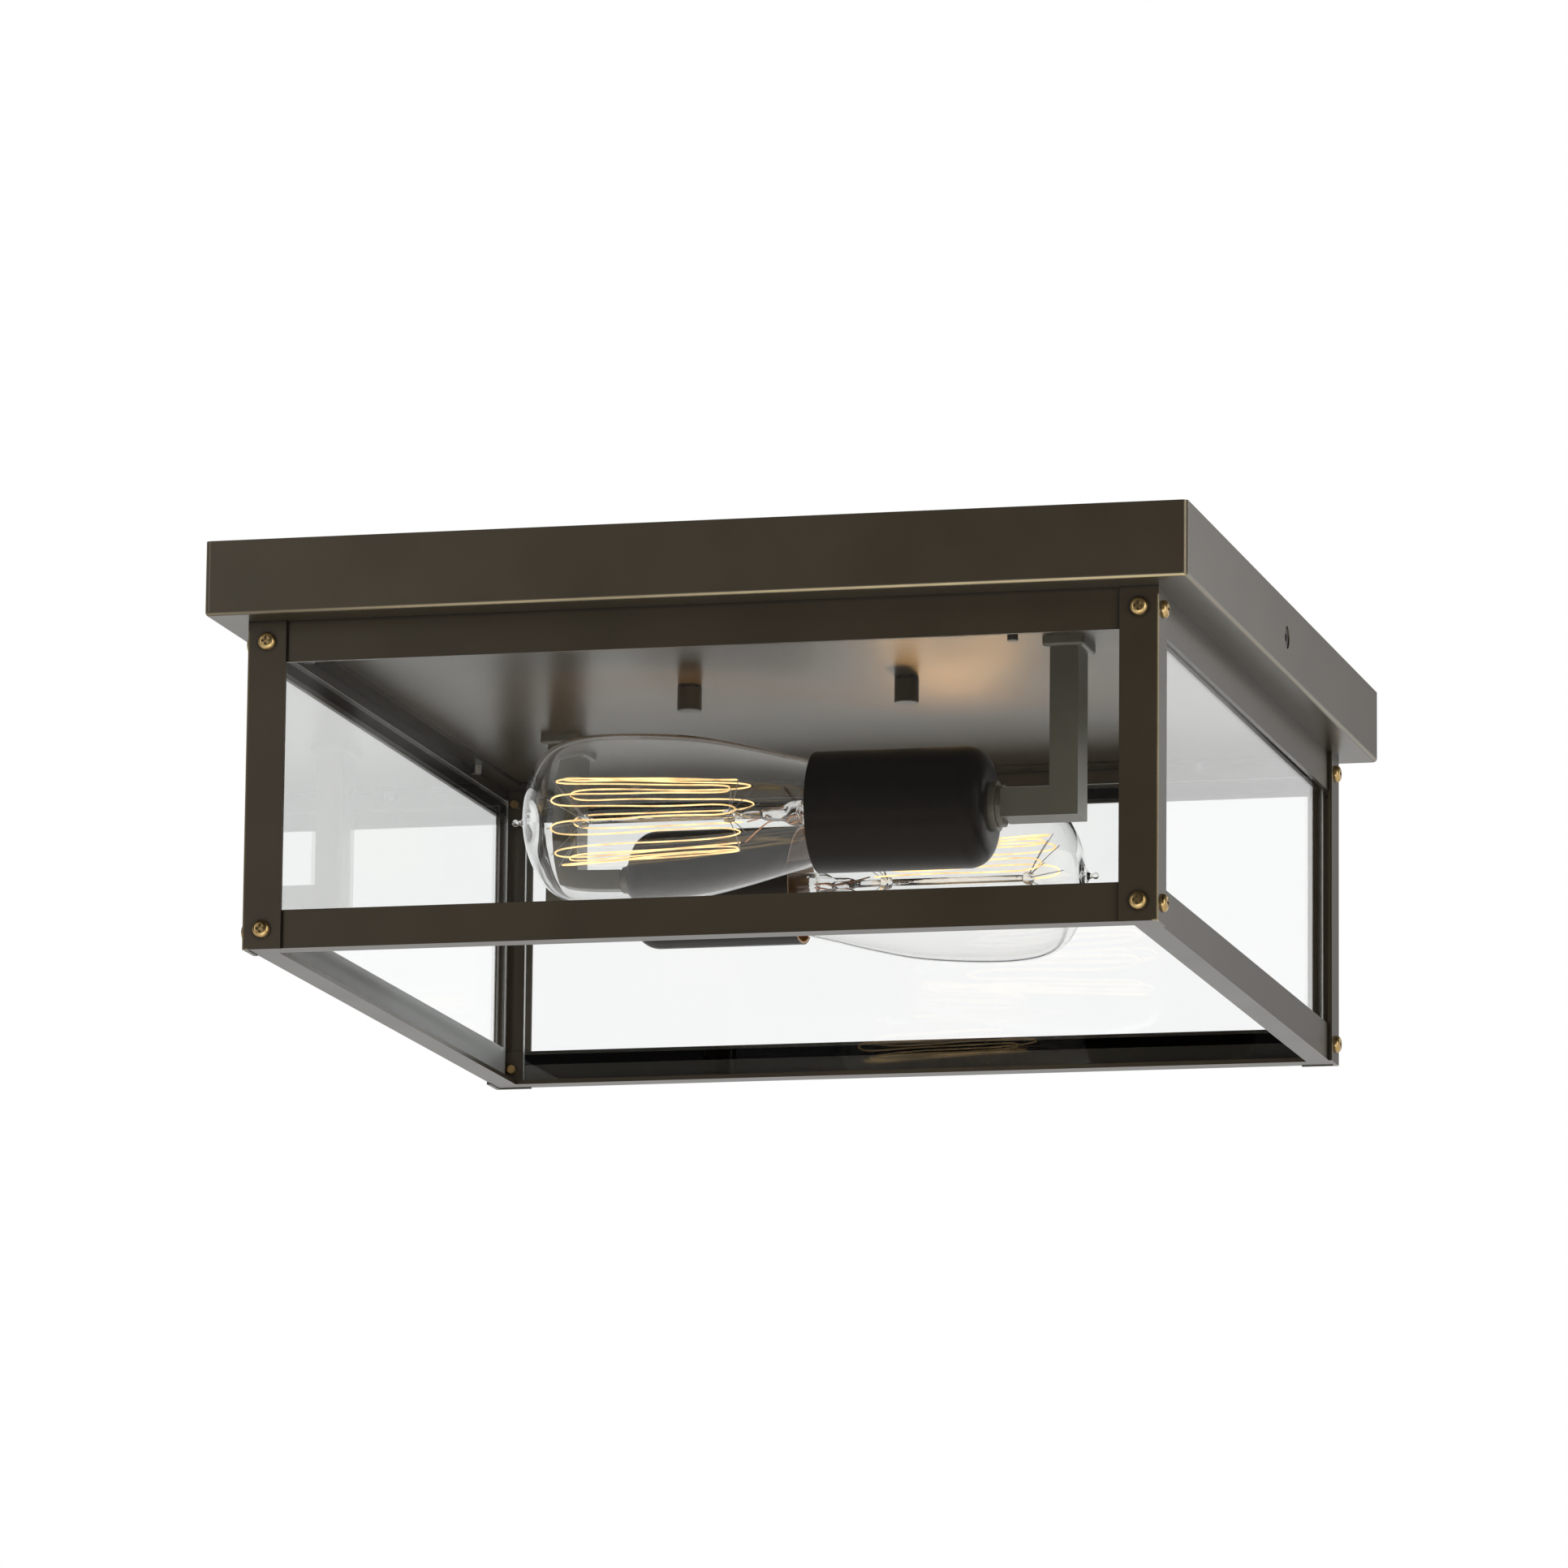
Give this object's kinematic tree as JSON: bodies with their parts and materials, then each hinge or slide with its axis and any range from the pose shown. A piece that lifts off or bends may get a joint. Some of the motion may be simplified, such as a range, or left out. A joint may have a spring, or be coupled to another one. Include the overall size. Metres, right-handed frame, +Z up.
{
  "type": "outdoor ceiling light",
  "caption": "Square flush ceiling light with a shallow canopy, an open-bottomed frame of clear panes, and tubular filament bulbs lying flat in plain cups on bent arms.",
  "frame": {"origin": "middle of the canopy's top, in the plane where it meets the ceiling", "axes": "+X right and +Y away from the viewer of the picture, +Z up into the ceiling"},
  "size_m": [0.356, 0.356, 0.1454],
  "materials": {
    "bronze_finish": "satin",
    "screw_brass": "satin",
    "zinc_steel": "satin",
    "green_zinc": "satin",
    "bare_copper": "bright",
    "black_insulation": "matte",
    "white_insulation": "matte",
    "connector_shell": "gloss",
    "plug_plastic": "matte",
    "clear_glass": "clear",
    "clear_sealant": "clear",
    "holder_plastic": "satin",
    "shell_brass": "bright",
    "bulb_clear_glass": "clear",
    "bulb_base_brass": "bright",
    "bulb_insulator": "gloss",
    "filament_wire": "glowing"
  },
  "bodies": {
    "fixture": {"canopy_pan": "bronze_finish", "corner_post_front_left": "bronze_finish", "corner_post_front_right": "bronze_finish", "corner_post_back_left": "bronze_finish", "corner_post_back_right": "bronze_finish", "top_rail_front": "bronze_finish", "top_rail_back": "bronze_finish", "top_rail_left": "bronze_finish", "top_rail_right": "bronze_finish", "bottom_rail_front": "bronze_finish", "bottom_rail_back": "bronze_finish", "bottom_rail_left": "bronze_finish", "bottom_rail_right": "bronze_finish", "lamp_arm_front": "bronze_finish", "lamp_arm_rear": "bronze_finish", "arm_collar_front": "bronze_finish", "arm_collar_rear": "bronze_finish", "cup_ring_front": "bronze_finish", "cup_ring_rear": "bronze_finish", "socket_cup_front": "bronze_finish", "socket_cup_rear": "bronze_finish", "post_screws": "screw_brass", "mounting_crossbar": "zinc_steel", "crossbar_studs": "zinc_steel", "stud_nuts": "zinc_steel", "arm_nipples": "zinc_steel", "holder_nipples": "zinc_steel", "nipple_nuts": "zinc_steel", "cage_screws": "zinc_steel", "ground_screws": "green_zinc", "ground_wire": "bare_copper", "black_leads": "black_insulation", "white_leads": "white_insulation", "wire_connectors": "connector_shell", "side_plug": "plug_plastic", "glass_pane_front": "clear_glass", "glass_pane_back": "clear_glass", "glass_pane_left": "clear_glass", "glass_pane_right": "clear_glass", "glazing_seals": "clear_sealant", "lampholder_front": "holder_plastic", "lampholder_rear": "holder_plastic", "screw_shell_front": "shell_brass", "screw_shell_rear": "shell_brass", "centre_contact_front": "shell_brass", "centre_contact_rear": "shell_brass"},
    "bulb_front_slide": {"bulb_contact_front": "bulb_insulator"},
    "bulb_front_turn": {"bulb_base_front": "bulb_base_brass", "bulb_glass_front": "bulb_clear_glass", "bulb_stem_front": "bulb_clear_glass", "bulb_filament_front": "filament_wire"},
    "bulb_rear_slide": {"bulb_contact_rear": "bulb_insulator"},
    "bulb_rear_turn": {"bulb_base_rear": "bulb_base_brass", "bulb_glass_rear": "bulb_clear_glass", "bulb_stem_rear": "bulb_clear_glass", "bulb_filament_rear": "filament_wire"},
    "knob_left_slide": {"knob_washer_left": "bronze_finish"},
    "knob_left_turn": {"knob_left": "bronze_finish"},
    "knob_right_slide": {"knob_washer_right": "bronze_finish"},
    "knob_right_turn": {"knob_right": "bronze_finish"}
  },
  "joints": [
    {"name": "bulb_front_draw", "type": "slide", "parent": "fixture", "child": "bulb_front_slide", "axis": [-1, 0, 0], "range_m": [0, 0.01816]},
    {"name": "bulb_front_unscrew", "type": "hinge", "parent": "bulb_front_slide", "child": "bulb_front_turn", "pos_m": [0.0213, -0.073, -0.0862], "axis": [-1, 0, 0], "range_deg": [0, 1800]},
    {"name": "bulb_rear_draw", "type": "slide", "parent": "fixture", "child": "bulb_rear_slide", "axis": [1, 0, 0], "range_m": [0, 0.01816]},
    {"name": "bulb_rear_unscrew", "type": "hinge", "parent": "bulb_rear_slide", "child": "bulb_rear_turn", "pos_m": [-0.0213, 0.073, -0.0862], "axis": [1, 0, 0], "range_deg": [0, 1800]},
    {"name": "knob_left_draw", "type": "slide", "parent": "fixture", "child": "knob_left_slide", "axis": [0, 0, -1], "range_m": [0, 0.00635]},
    {"name": "knob_left_unscrew", "type": "hinge", "parent": "knob_left_slide", "child": "knob_left_turn", "pos_m": [-0.0409, -0.02, -0.027], "axis": [0, 0, -1], "range_deg": [0, 2881]},
    {"name": "knob_right_draw", "type": "slide", "parent": "fixture", "child": "knob_right_slide", "axis": [0, 0, -1], "range_m": [0, 0.00635]},
    {"name": "knob_right_unscrew", "type": "hinge", "parent": "knob_right_slide", "child": "knob_right_turn", "pos_m": [0.0409, -0.02, -0.027], "axis": [0, 0, -1], "range_deg": [0, 2881]}
  ],
  "couplings": [
    {"joint": "bulb_front_draw", "follows": "bulb_front_unscrew", "m_per_rad": 0.00057757},
    {"joint": "bulb_rear_draw", "follows": "bulb_rear_unscrew", "m_per_rad": 0.00057757},
    {"joint": "knob_left_unscrew", "follows": "knob_left_draw", "rad_per_m": 7915.8},
    {"joint": "knob_right_unscrew", "follows": "knob_right_draw", "rad_per_m": 7915.8}
  ]
}
